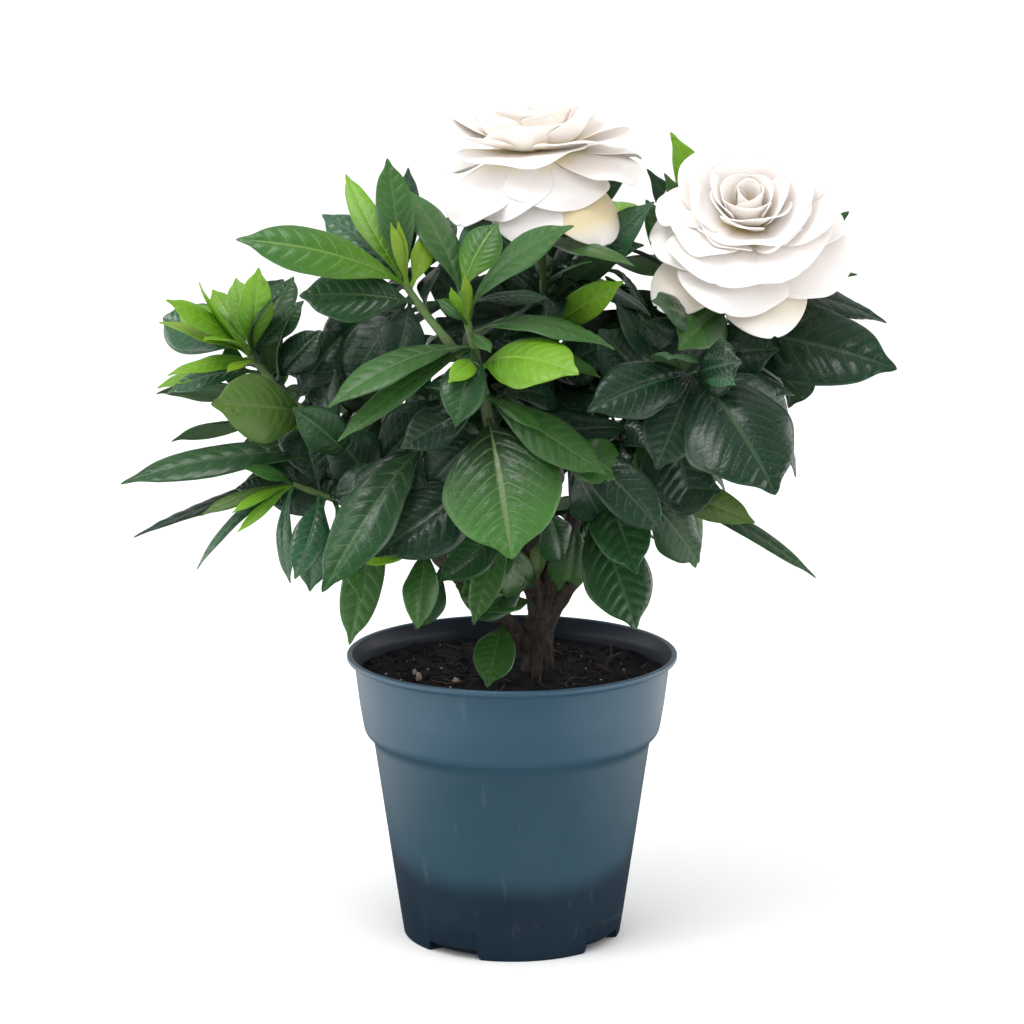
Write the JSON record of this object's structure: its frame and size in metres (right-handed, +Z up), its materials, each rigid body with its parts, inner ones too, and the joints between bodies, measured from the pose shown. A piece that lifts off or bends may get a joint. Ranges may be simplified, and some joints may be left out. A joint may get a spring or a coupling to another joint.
{
  "type": "potted gardenia",
  "caption": "Flowering gardenia shrub with glossy evergreen leaves and white rosette blooms in a round tapered plastic nursery pot filled with soil.",
  "frame": {"origin": "middle of the pot's flat underside", "axes": "+Z up along the pot's axis towards the blooms, -Y towards the front, +X to the right with the lower bloom"},
  "size_m": [0.34, 0.2252, 0.3701],
  "materials": {
    "pot_plastic": "satin",
    "potting_soil": "matte",
    "bark": "matte",
    "leaf_green": "satin",
    "young_leaf_green": "satin",
    "petal_white": "matte"
  },
  "bodies": {
    "root": {"flower_left_heart": "petal_white", "flower_left_middle_petals": "petal_white", "flower_left_outer_petal_1": "petal_white", "flower_left_outer_petal_2": "petal_white", "flower_left_outer_petal_3": "petal_white", "flower_left_outer_petal_4": "petal_white", "flower_left_outer_petal_5": "petal_white", "flower_right_heart": "petal_white", "flower_right_middle_petals": "petal_white", "flower_right_outer_petal_1": "petal_white", "flower_right_outer_petal_2": "petal_white", "flower_right_outer_petal_3": "petal_white", "flower_right_outer_petal_4": "petal_white", "flower_right_outer_petal_5": "petal_white", "leaf_arching_lime": "young_leaf_green", "leaf_arching_right": "leaf_green", "leaf_back_left_wide": "leaf_green", "leaf_back_low": "leaf_green", "leaf_back_right_high": "leaf_green", "leaf_back_right_wide": "leaf_green", "leaf_back_upright": "leaf_green", "leaf_back_wide": "leaf_green", "leaf_between_flowers": "leaf_green", "leaf_centre_big": "leaf_green", "leaf_centre_hanging": "leaf_green", "leaf_centre_quilted": "leaf_green", "leaf_centre_right": "leaf_green", "leaf_front_arching_left": "young_leaf_green", "leaf_front_arching_right": "leaf_green", "leaf_front_edge": "leaf_green", "leaf_front_lime": "young_leaf_green", "leaf_front_long": "leaf_green", "leaf_glossy_curled": "leaf_green", "leaf_hanging_inner": "leaf_green", "leaf_hanging_left": "leaf_green", "leaf_in_pot": "leaf_green", "leaf_left_whorl_back": "leaf_green", "leaf_left_whorl_front": "young_leaf_green", "leaf_left_whorl_lower": "leaf_green", "leaf_left_whorl_outer": "young_leaf_green", "leaf_left_whorl_upright": "young_leaf_green", "leaf_long_left": "leaf_green", "leaf_low_left": "leaf_green", "leaf_mid_left_side": "leaf_green", "leaf_olive": "leaf_green", "leaf_right_behind": "leaf_green", "leaf_right_big": "leaf_green", "leaf_right_dark": "leaf_green", "leaf_right_hanging": "leaf_green", "leaf_right_lower": "leaf_green", "leaf_right_tip": "leaf_green", "leaf_right_wide": "leaf_green", "leaf_silver_centre": "leaf_green", "leaf_silver_left": "leaf_green", "leaf_stub": "leaf_green", "leaf_upright": "leaf_green", "pot": "pot_plastic", "soil": "potting_soil", "woody_stems": "bark"}
  },
  "joints": []
}
